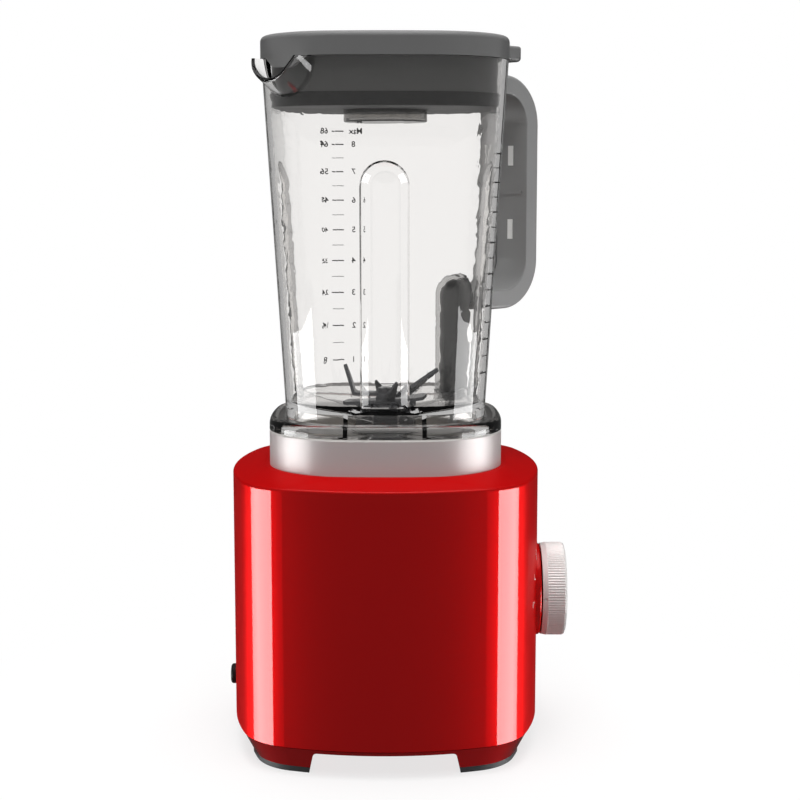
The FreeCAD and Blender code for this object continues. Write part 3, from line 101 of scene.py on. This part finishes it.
def enamelOnDieCast():
    # candy enamel on a cast housing: red lacquer over a metal flake, which lights up towards the sides,
    # under a wet clear layer with faint orange peel, which the colour outshines where it is seen edge-on
    plan = enamelPlan
    material, tree = startMaterial("redEnamel")
    place = addNode(tree, "ShaderNodeTexCoord").outputs["Object"]
    peel = addNode(
        tree, "ShaderNodeTexNoise", {"Scale": 1 / plan["peelSize"], "Detail": 1.0}, {"Vector": place},
    )
    bump = addNode(
        tree, "ShaderNodeBump", {"Strength": plan["peelStrength"], "Distance": plan["peelDepth"]},
        {"Height": peel.outputs["Fac"]},
    )
    cloud = addNode(
        tree, "ShaderNodeTexNoise", {"Scale": 1 / plan["cloudSize"], "Detail": 2.0}, {"Vector": place},
    )
    tone = addNode(
        tree, "ShaderNodeMixRGB", {"Color1": toLinear(plan["first"]), "Color2": toLinear(plan["second"])},
        {"Fac": cloud.outputs["Fac"]},
    )
    flat = addNode(tree, "ShaderNodeLayerWeight", {"Blend": 0.5})
    gloss = addNode(
        tree, "ShaderNodeMapRange",
        {
            "From Min": plan["coatFrom"], "From Max": plan["coatTo"],
            "To Min": plan["coatFull"], "To Max": plan["coatLeast"],
        },
        {"Value": flat.outputs["Facing"]},
    )
    shader = addNode(
        tree, "ShaderNodeBsdfPrincipled",
        {
            "Metallic": plan["metallic"], "Roughness": plan["roughness"], "IOR": plan["ior"],
            "Specular Tint": toLinear(plan["sheen"]),
            "Coat Roughness": plan["coatRoughness"], "Coat IOR": plan["coatIor"],
        },
        {
            "Base Color": tone.outputs["Color"], "Coat Weight": gloss.outputs["Result"],
            "Coat Normal": bump.outputs["Normal"],
        },
    )
    endMaterial(tree, shader.outputs["BSDF"])
    return material


noiseMiddle = {"From Min": 0.3, "From Max": 0.7}  # most of what a noise texture gives lies in here
plasticPlan = {
    "cloudSize": 25 * mm, "depth": 0.05 * mm, "roughnessStep": 0.04, "shades": (0.96, 1.04), "ior": 1.5,
}


def mouldedPlastic(name, colour, roughness, grain=0.35, strength=0.12):
    # injection moulded ABS with a fine spark-eroded grain, which spreads the light softly
    plan = plasticPlan
    material, tree = startMaterial(name)
    place = addNode(tree, "ShaderNodeTexCoord").outputs["Object"]
    fine = addNode(
        tree, "ShaderNodeTexNoise", {"Scale": 1 / (grain * mm), "Detail": 2.0}, {"Vector": place},
    )
    wide = addNode(
        tree, "ShaderNodeTexNoise", {"Scale": 1 / plan["cloudSize"], "Detail": 3.0}, {"Vector": place},
    )
    bump = addNode(
        tree, "ShaderNodeBump", {"Strength": strength, "Distance": plan["depth"]},
        {"Height": fine.outputs["Fac"]},
    )
    step = plan["roughnessStep"]
    rough = addNode(
        tree, "ShaderNodeMapRange", {**noiseMiddle, "To Min": roughness - step, "To Max": roughness + step},
        {"Value": wide.outputs["Fac"]},
    )
    base = toLinear(colour)
    darker, lighter = [(*[c * share for c in base[:3]], 1) for share in plan["shades"]]
    tone = addNode(
        tree, "ShaderNodeMixRGB", {"Color1": darker, "Color2": lighter}, {"Fac": wide.outputs["Fac"]},
    )
    shader = addNode(
        tree, "ShaderNodeBsdfPrincipled", {"IOR": plan["ior"]},
        {
            "Base Color": tone.outputs["Color"], "Roughness": rough.outputs["Result"],
            "Normal": bump.outputs["Normal"],
        },
    )
    endMaterial(tree, shader.outputs["BSDF"])
    return material


def rubber(name, colour):
    # moulded silicone rubber: dull, with a soft skin
    return mouldedPlastic(name, colour, 0.55, grain=0.6, strength=0.2)


metalPlan = {"depth": 0.02 * mm, "roughnessShares": (0.85, 1.15)}


def workedMetal(name, colour, roughness, spacing, stretch, strength=0.15, metallic=1.0):
    # metal with a worked surface: fine scratches, long along one axis, that draw the highlights out
    material, tree = startMaterial(name)
    place = addNode(tree, "ShaderNodeTexCoord").outputs["Object"]
    lay = addNode(tree, "ShaderNodeMapping", {"Scale": stretch}, {"Vector": place})
    lines = addNode(
        tree, "ShaderNodeTexNoise", {"Scale": 1 / (spacing * mm), "Detail": 3.0},
        {"Vector": lay.outputs["Vector"]},
    )
    bump = addNode(
        tree, "ShaderNodeBump", {"Strength": strength, "Distance": metalPlan["depth"]},
        {"Height": lines.outputs["Fac"]},
    )
    least, most = [roughness * share for share in metalPlan["roughnessShares"]]
    rough = addNode(
        tree, "ShaderNodeMapRange", {**noiseMiddle, "To Min": least, "To Max": most},
        {"Value": lines.outputs["Fac"]},
    )
    shader = addNode(
        tree, "ShaderNodeBsdfPrincipled", {"Base Color": toLinear(colour), "Metallic": metallic},
        {"Roughness": rough.outputs["Result"], "Normal": bump.outputs["Normal"]},
    )
    endMaterial(tree, shader.outputs["BSDF"])
    return material


clearPlan = {"ior": 1.54, "passing": "#fbfaf8"}


def clearCopolyester(name, colour, roughness):
    # injection moulded copolyester: clear, faintly warm, and light passes it without a hard shadow
    material, tree = startMaterial(name)
    shader = addNode(
        tree, "ShaderNodeBsdfPrincipled",
        {
            "Base Color": toLinear(colour), "Roughness": roughness, "IOR": clearPlan["ior"],
            "Transmission Weight": 1.0,
        },
    )
    passing = addNode(tree, "ShaderNodeBsdfTransparent", {"Color": toLinear(clearPlan["passing"])})
    path = addNode(tree, "ShaderNodeLightPath")
    both = addNode(tree, "ShaderNodeMixShader", {}, {"Fac": path.outputs["Is Shadow Ray"]})
    tree.links.new(shader.outputs["BSDF"], both.inputs[1])
    tree.links.new(passing.outputs["BSDF"], both.inputs[2])
    endMaterial(tree, both.outputs["Shader"])
    return material


inkPlan = {"speck": 0.4 * mm, "roughnessFrom": 0.5, "roughnessTo": 0.7, "ior": 1.45}


def printedInk(name, colour):
    # pad-printed ink: a thin matt film
    material, tree = startMaterial(name)
    place = addNode(tree, "ShaderNodeTexCoord").outputs["Object"]
    speck = addNode(tree, "ShaderNodeTexNoise", {"Scale": 1 / inkPlan["speck"]}, {"Vector": place})
    rough = addNode(
        tree, "ShaderNodeMapRange", {"To Min": inkPlan["roughnessFrom"], "To Max": inkPlan["roughnessTo"]},
        {"Value": speck.outputs["Fac"]},
    )
    shader = addNode(
        tree, "ShaderNodeBsdfPrincipled", {"Base Color": toLinear(colour), "IOR": inkPlan["ior"]},
        {"Roughness": rough.outputs["Result"]},
    )
    endMaterial(tree, shader.outputs["BSDF"])
    return material


alongX, alongZ, even = (0.04, 1, 1), (1, 1, 0.04), (1, 1, 1)
redEnamel = enamelOnDieCast()
# painted shade: the moulded pan's red is darker than the housing's enamel red, standing in for the shade on
# its downward-facing slope
redPanPaintedShade = mouldedPlastic("redPanPaintedShade", "#b80408", 0.22, strength=0.03)
greyAbs = mouldedPlastic("greyAbs", "#767676", 0.5)
handleAbs = mouldedPlastic("handleAbs", "#8c8c8c", 0.5)
plugAbs = mouldedPlastic("plugAbs", "#3e3e3e", 0.5, strength=0.02)
postNylon = mouldedPlastic("postNylon", "#1e1e20", 0.4)
blackAbs = mouldedPlastic("blackAbs", "#1c1c1e", 0.5)
# painted light: the seat is a mid grey, lighter than its dark plastic, standing in for light that does not
# reach it under the clear flange
seatAbsPaintedLight = mouldedPlastic("seatAbsPaintedLight", "#7d7d7f", 0.5)
whiteNylon = mouldedPlastic("whiteNylon", "#f4f4f2", 0.4)
boardResin = mouldedPlastic("boardResin", "#1d5a2c", 0.4)
carbonBlock = mouldedPlastic("carbonBlock", "#1a1a1a", 0.6)
blackSilicone = rubber("blackSilicone", "#0c0c0c")
footRubber = rubber("footRubber", "#3b3c3e")
# the two silver finishes are metal flake in a clear binder, so they are metallic only in part
silverLacquer = workedMetal("silverLacquer", "#d8d5d4", 0.38, 0.25, (1, 1, 6), 0.06, 0.25)
castAluminium = workedMetal("castAluminium", "#b5b6b8", 0.5, 0.6, even, 0.4)
satinSilver = workedMetal("satinSilver", "#f1f0ee", 0.34, 0.2, alongX, 0.05, 0.2)
groundSteel = workedMetal("groundSteel", "#66676a", 0.22, 0.25, alongX)
turnedSteel = workedMetal("turnedSteel", "#c4c5c6", 0.2, 0.3, alongZ)
zincSteel = workedMetal("zincSteel", "#c9ccd0", 0.35, 0.4, even)
siliconSteel = workedMetal("siliconSteel", "#77797c", 0.5, 0.5, (0.2, 0.2, 6))
magnetWire = workedMetal("magnetWire", "#c8763c", 0.3, 0.7, alongZ, 0.6)
commutatorCopper = workedMetal("commutatorCopper", "#d08a5a", 0.3, 0.3, alongZ)
sheetBrass = workedMetal("sheetBrass", "#cfae62", 0.3, 0.4, even)
jarClear = clearCopolyester("jarClear", "#fefdfc", 0.0)
cupClear = clearCopolyester("cupClear", "#a8a6a3", 0.02)
scaleInk = printedInk("scaleInk", "#2c2c2c")
dialInk = printedInk("dialInk", "#f2f1ef")

dress(redEnamel, "base_housing")
dress(redPanPaintedShade, "bottom_pan")
dress(footRubber, "foot_pads")
dress(silverLacquer, "trim_band")
dress(seatAbsPaintedLight, "jar_seat")
dress(blackAbs, "cord_gland", "air_baffle", "cooling_fan", "knob_core", "hub_nut")
dress(blackAbs, "speed_encoder", "board_components")
dress(blackSilicone, "base_shaft_seal", "motor_dampers", "spindle_seal", "lid_gasket")
dress(castAluminium, "upper_bracket", "lower_bracket")
dress(turnedSteel, "upper_motor_bearing", "lower_motor_bearing", "motor_shaft")
dress(turnedSteel, "knob_shaft", "blade_bearings", "blade_spindle")
dress(zincSteel, "pan_screws", "tie_bolts", "motor_screws", "brush_springs", "board_screws", "handle_screws")
dress(groundSteel, "bearing_hub", "blade_hub", "lower_blade", "middle_blade", "upper_blade", "blade_nut")
dress(castAluminium, "drive_coupler", "driven_coupler")
dress(siliconSteel, "stator_core", "rotor_core")
dress(magnetWire, "field_windings", "armature_windings")
dress(commutatorCopper, "commutator")
dress(sheetBrass, "brush_holders")
dress(carbonBlock, "carbon_brushes")
dress(boardResin, "control_board")
dress(satinSilver, "speed_knob")
dress(jarClear, "jar_body")
dress(greyAbs, "lid_shell")
dress(handleAbs, "handle_shell", "handle_inner_cover", "handle_lug")
dress(whiteNylon, "handle_clips")
dress(postNylon, "handle_post")
dress(plugAbs, "lid_plug")
dress(cupClear, "fill_cup")
print("materials on the construction pieces")


# printed marks: made flat in front of their wall, laid on it, then given the thickness of ink

markPlan = {"curveSteps": 4, "barCuts": 3, "filmShare": 0.8}


def makeWord(text, size, boldness, place, turn):
    bpy.ops.object.text_add(location=place, rotation=turn)
    word = bpy.context.object
    word.data.body = text
    word.data.size = size
    word.data.offset = boldness
    word.data.align_x = "CENTER"
    word.data.align_y = "CENTER"
    word.data.resolution_u = markPlan["curveSteps"]
    bpy.ops.object.convert(target="MESH")
    bpy.ops.object.transform_apply(location=True, rotation=True, scale=True)
    return bpy.context.object


def makeBar(width, height, place, turn):
    bpy.ops.mesh.primitive_plane_add(size=1, location=place, rotation=turn)
    bar = bpy.context.object
    bar.scale = (width, height, 1)
    bpy.ops.object.transform_apply(location=True, rotation=True, scale=True)
    bpy.ops.object.mode_set(mode="EDIT")
    bpy.ops.mesh.select_all(action="SELECT")
    bpy.ops.mesh.subdivide(number_cuts=markPlan["barCuts"])
    bpy.ops.object.mode_set(mode="OBJECT")
    return bar


def layOn(marks, name, wall, axis, thickness):
    selectOnly(*marks)
    bpy.ops.object.join()
    sheet = bpy.context.object
    sheet.name = name
    wrap = sheet.modifiers.new("wrap", "SHRINKWRAP")
    wrap.target = nodes[wall]
    wrap.wrap_method = "PROJECT"
    wrap.use_project_x = axis == "X"
    wrap.use_project_y = axis == "Y"
    wrap.use_negative_direction = True
    wrap.use_positive_direction = True
    wrap.offset = thickness
    film = sheet.modifiers.new("film", "SOLIDIFY")
    film.thickness = thickness * markPlan["filmShare"]
    film.offset = 0
    applyModifiers(sheet)
    return sheet


jarScale = {
    "firstLevel": 198.05 * mm, "perCup": 22.5 * mm, "widening": 0.38 * mm, "cups": 8, "fullCups": 8.5,
    "ouncesX": 39.6 * mm, "dashX": 30.7 * mm, "cupsX": 20.5 * mm, "outside": 90 * mm,
    "letter": 5.0 * mm, "boldness": 0.09 * mm, "wordShift": 0.75 * mm,
    "dash": (8.1 * mm, 0.7 * mm), "halfDash": (8.1 * mm, 0.36 * mm), "ink": 0.15 * mm,
}


def scaleLevel(cups):
    return jarScale["firstLevel"] + jarScale["perCup"] * cups - jarScale["widening"] * cups ** 2


def makeJarScale():
    # read from behind the jar: the numbers run towards -X there
    facing = (math.pi / 2, 0, math.pi)
    out = jarScale["outside"]
    letters = (jarScale["letter"], jarScale["boldness"])
    marks = []
    for cups in list(range(1, jarScale["cups"] + 1)) + [jarScale["fullCups"]]:
        level = scaleLevel(cups)
        right = "Max" if cups == jarScale["fullCups"] else str(cups)
        rightX = jarScale["cupsX"] - jarScale["wordShift"] * (len(right) - 1)
        marks.append(makeWord(str(round(cups * 8)), *letters, (-jarScale["ouncesX"], out, level), facing))
        marks.append(makeBar(*jarScale["dash"], (-jarScale["dashX"], out, level), facing))
        marks.append(makeWord(right, *letters, (-rightX, out, level), facing))
    for cups in range(1, jarScale["cups"]):
        level = scaleLevel(cups + 0.5)
        marks.append(makeBar(*jarScale["halfDash"], (-jarScale["dashX"], out, level), facing))
    return layOn(marks, "jar_scale", "jar_body", "Y", jarScale["ink"])


scalePrint = makeJarScale()
scalePrint.data.materials.clear()
scalePrint.data.materials.append(scaleInk)
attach(scalePrint, "jar")
print("jar scale printed")


sideScale = {
    "middleLevel": 279.2 * mm, "perCup": 17.95 * mm, "narrowing": 0.28 * mm, "first": -3, "last": 4,
    "place": -36 * mm, "outside": 90 * mm,
    "dash": (9 * mm, 0.8 * mm), "halfDash": (7 * mm, 0.5 * mm), "ink": 0.12 * mm,
}


def makeSideScale():
    # dashes for cups and half cups up the +X wall, by its near corner
    facing = (math.pi / 2, 0, math.pi / 2)
    marks = []
    for half in range(2 * sideScale["first"], 2 * sideScale["last"] + 1):
        cups = half / 2
        level = sideScale["middleLevel"] + sideScale["perCup"] * cups - sideScale["narrowing"] * cups ** 2
        size = sideScale["dash"] if half % 2 == 0 else sideScale["halfDash"]
        marks.append(makeBar(*size, (sideScale["outside"], sideScale["place"], level), facing))
    return layOn(marks, "side_scale", "jar_body", "X", sideScale["ink"])


sidePrint = makeSideScale()
sidePrint.data.materials.clear()
sidePrint.data.materials.append(scaleInk)
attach(sidePrint, "jar")
print("side scale printed")


dialMarks = {
    "height": 87.6 * mm, "outside": 96 * mm, "numberReach": 40.5 * mm, "tickReach": 34.5 * mm,
    "first": 180, "turn": 22.5, "last": 10, "letter": 5.2 * mm, "boldness": 0.0,
    "tick": (0.7 * mm, 3.2 * mm), "ink": 0.06 * mm,
}


def onDial(angle, reach):
    turn = math.radians(angle)
    return (dialMarks["outside"], reach * math.cos(turn), dialMarks["height"] + reach * math.sin(turn))


def makeDialMarks():
    # numbers round the dial on the +X face, rising clockwise
    letters = (dialMarks["letter"], dialMarks["boldness"])
    marks = []
    for number in range(dialMarks["last"] + 1):
        angle = dialMarks["first"] - dialMarks["turn"] * number
        facing = (math.pi / 2, 0, math.pi / 2)
        marks.append(makeWord(str(number), *letters, onDial(angle, dialMarks["numberReach"]), facing))
        slant = (math.radians(angle) - math.pi / 2, 0, 0)
        tick = makeBar(*dialMarks["tick"], (0, 0, 0), facing)
        tick.rotation_euler = slant
        tick.location = onDial(angle, dialMarks["tickReach"])
        selectOnly(tick)
        bpy.ops.object.transform_apply(location=True, rotation=True, scale=True)
        marks.append(tick)
    return layOn(marks, "dial_marks", "base_housing", "X", dialMarks["ink"])


dialPrint = makeDialMarks()
dialPrint.data.materials.clear()
dialPrint.data.materials.append(dialInk)
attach(dialPrint, "base")
print("dial marks printed")


# the stand: a white floor that fades into the light background

floorPlan = {"size": 12.0, "colour": "#f4f4f4", "fadeStart": 0.1, "fadeEnd": 0.3, "glow": 0.75}


def whiteFloor():
    # matt white paper: it takes the object's shadow, and turns to plain white further out
    material, tree = startMaterial("whiteFloor")
    place = addNode(tree, "ShaderNodeTexCoord")
    reach = addNode(tree, "ShaderNodeVectorMath", {"operation": "LENGTH"})
    tree.links.new(place.outputs["Object"], reach.inputs[0])
    fade = addNode(
        tree, "ShaderNodeMapRange",
        {
            "From Min": floorPlan["fadeStart"], "From Max": floorPlan["fadeEnd"],
            "To Min": floorPlan["glow"],
        },
        {"Value": reach.outputs["Value"]},
    )
    paper = addNode(tree, "ShaderNodeBsdfDiffuse", {"Color": toLinear(floorPlan["colour"])})
    plain = addNode(tree, "ShaderNodeEmission", {"Strength": 1.0})
    both = addNode(tree, "ShaderNodeMixShader", {}, {"Fac": fade.outputs["Result"]})
    tree.links.new(paper.outputs["BSDF"], both.inputs[1])
    tree.links.new(plain.outputs["Emission"], both.inputs[2])
    endMaterial(tree, both.outputs["Shader"])
    return material


bpy.ops.mesh.primitive_plane_add(size=floorPlan["size"], location=(0, 0, 0))
floor = bpy.context.object
floor.name = "floor"
floor.data.materials.append(whiteFloor())
floor.visible_glossy = False  # the gloss shows the soft boxes down to the seam
floor.visible_diffuse = False  # the object is lit by the boxes, not from below
floor.visible_transmission = False  # clear pieces show the background instead
print("floor laid")


# light: a tall soft box and a fill box on each side, one box overhead, one above the front,
# and the white background

softBoxes = {
    "sideRadiance": 6.5, "sideWidth": 0.8, "sideLow": -0.5, "sideHigh": 0.07,
    "sideReach": 1.0, "sideAngle": 81,
    "topRadiance": 5.0, "topSize": 1.4, "topHeight": 1.7,
    "frontRadiance": 4.5, "frontSize": 1.1, "frontHeight": 1.9, "frontReach": 1.15, "frontAim": 0.2,
    "fillRadiance": {-1: 12.0, 1: 13.5}, "fillWidth": 1.0,
    "fillLow": -0.5, "fillHigh": 0.0, "fillAngle": 105,
}


def softBox(name, place, target, width, height, radiance):
    bpy.ops.object.light_add(type="AREA", location=place)
    box = bpy.context.object
    box.name = name
    box.data.shape = "RECTANGLE"
    box.data.size = width
    box.data.size_y = height
    box.data.energy = radiance * math.pi * width * height
    box.rotation_euler = (Vector(target) - Vector(place)).to_track_quat("-Z", "Y").to_euler()
    box.visible_camera = False
    box.visible_transmission = False
    return box


def flankBox(kind, side, radiance):
    middle = (softBoxes[kind + "Low"] + softBoxes[kind + "High"]) / 2
    tall = softBoxes[kind + "High"] - softBoxes[kind + "Low"]
    turn = math.radians(softBoxes[kind + "Angle"])
    reach = softBoxes["sideReach"]
    stand = (side * math.sin(turn) * reach, -math.cos(turn) * reach, middle)
    return softBox(kind + "Box", stand, (0, 0, middle), softBoxes[kind + "Width"], tall, radiance)


fillBoxes = []
for side in (-1, 1):
    flankBox("side", side, softBoxes["sideRadiance"])
    fillBoxes.append(flankBox("fill", side, softBoxes["fillRadiance"][side]))
top = softBoxes["topSize"]
topBox = softBox("topBox", (0, 0, softBoxes["topHeight"]), (0, 0, 0), top, top, softBoxes["topRadiance"])

front = softBoxes["frontSize"]
frontStand = (0, -softBoxes["frontReach"], softBoxes["frontHeight"])
frontAim = (0, 0, softBoxes["frontAim"])
frontBox = softBox("frontBox", frontStand, frontAim, front, front, softBoxes["frontRadiance"])

for box in fillBoxes + [topBox, frontBox]:
    box.visible_glossy = False  # they lift the matt pieces without showing in the enamel

worldLight = {"ambient": 0.15, "gloss": 0.08, "highFrom": 0.86, "highTo": 1.0, "echo": 0.5}


def makeWorld():
    # a white background, which the clear pieces show too, weaker after a turn inside their walls:
    # gloss meets it overhead and it is dim elsewhere
    world = bpy.data.worlds.new("studio")
    bpy.context.scene.world = world
    world.use_nodes = True
    tree = world.node_tree
    tree.nodes.clear()
    path = addNode(tree, "ShaderNodeLightPath")
    place = addNode(tree, "ShaderNodeTexCoord")
    way = addNode(tree, "ShaderNodeSeparateXYZ", {}, {"Vector": place.outputs["Generated"]})
    above = addNode(
        tree, "ShaderNodeMapRange", {"From Min": worldLight["highFrom"], "From Max": worldLight["highTo"]},
        {"Value": way.outputs["Z"]},
    )
    gloss = addNode(
        tree, "ShaderNodeMapRange", {"To Min": worldLight["gloss"]}, {"Value": above.outputs["Result"]},
    )
    echo = addNode(
        tree, "ShaderNodeMapRange", {"To Min": 1.0, "To Max": worldLight["echo"]},
        {"Value": path.outputs["Glossy Depth"]},
    )
    plain = addNode(
        tree, "ShaderNodeMapRange", {"To Min": worldLight["ambient"], "To Max": 0.0},
        {"Value": path.outputs["Is Glossy Ray"]},
    )
    # what glossy rays and transmission rays see, then the stronger of all that a ray may see
    shares = (("Is Glossy Ray", gloss), ("Is Transmission Ray", echo))
    seen = [path.outputs["Is Camera Ray"], plain.outputs["Result"]]
    for kind, strength in shares:
        part = addNode(tree, "ShaderNodeMath", {"operation": "MULTIPLY"})
        tree.links.new(path.outputs[kind], part.inputs[0])
        tree.links.new(strength.outputs["Result"], part.inputs[1])
        seen.append(part.outputs["Value"])
    level = seen[0]
    for other in seen[1:]:
        stronger = addNode(tree, "ShaderNodeMath", {"operation": "MAXIMUM"})
        tree.links.new(level, stronger.inputs[0])
        tree.links.new(other, stronger.inputs[1])
        level = stronger.outputs["Value"]
    back = addNode(tree, "ShaderNodeBackground", {"Color": (1, 1, 1, 1)}, {"Strength": level})
    addNode(tree, "ShaderNodeOutputWorld", {}, {"Surface": back.outputs["Background"]})


makeWorld()
print("lights placed")

cameraPlan = {"place": (0.0085, -0.966, 0.3328), "pitch": 7.7, "lens": 73.76, "sensor": 36}
cameraTurn = (math.radians(90 - cameraPlan["pitch"]), 0, 0)
bpy.ops.object.camera_add(location=cameraPlan["place"], rotation=cameraTurn)
camera = bpy.context.object
camera.data.lens = cameraPlan["lens"]
camera.data.sensor_width = cameraPlan["sensor"]
bpy.context.scene.camera = camera
bpy.context.scene.view_settings.view_transform = "Standard"
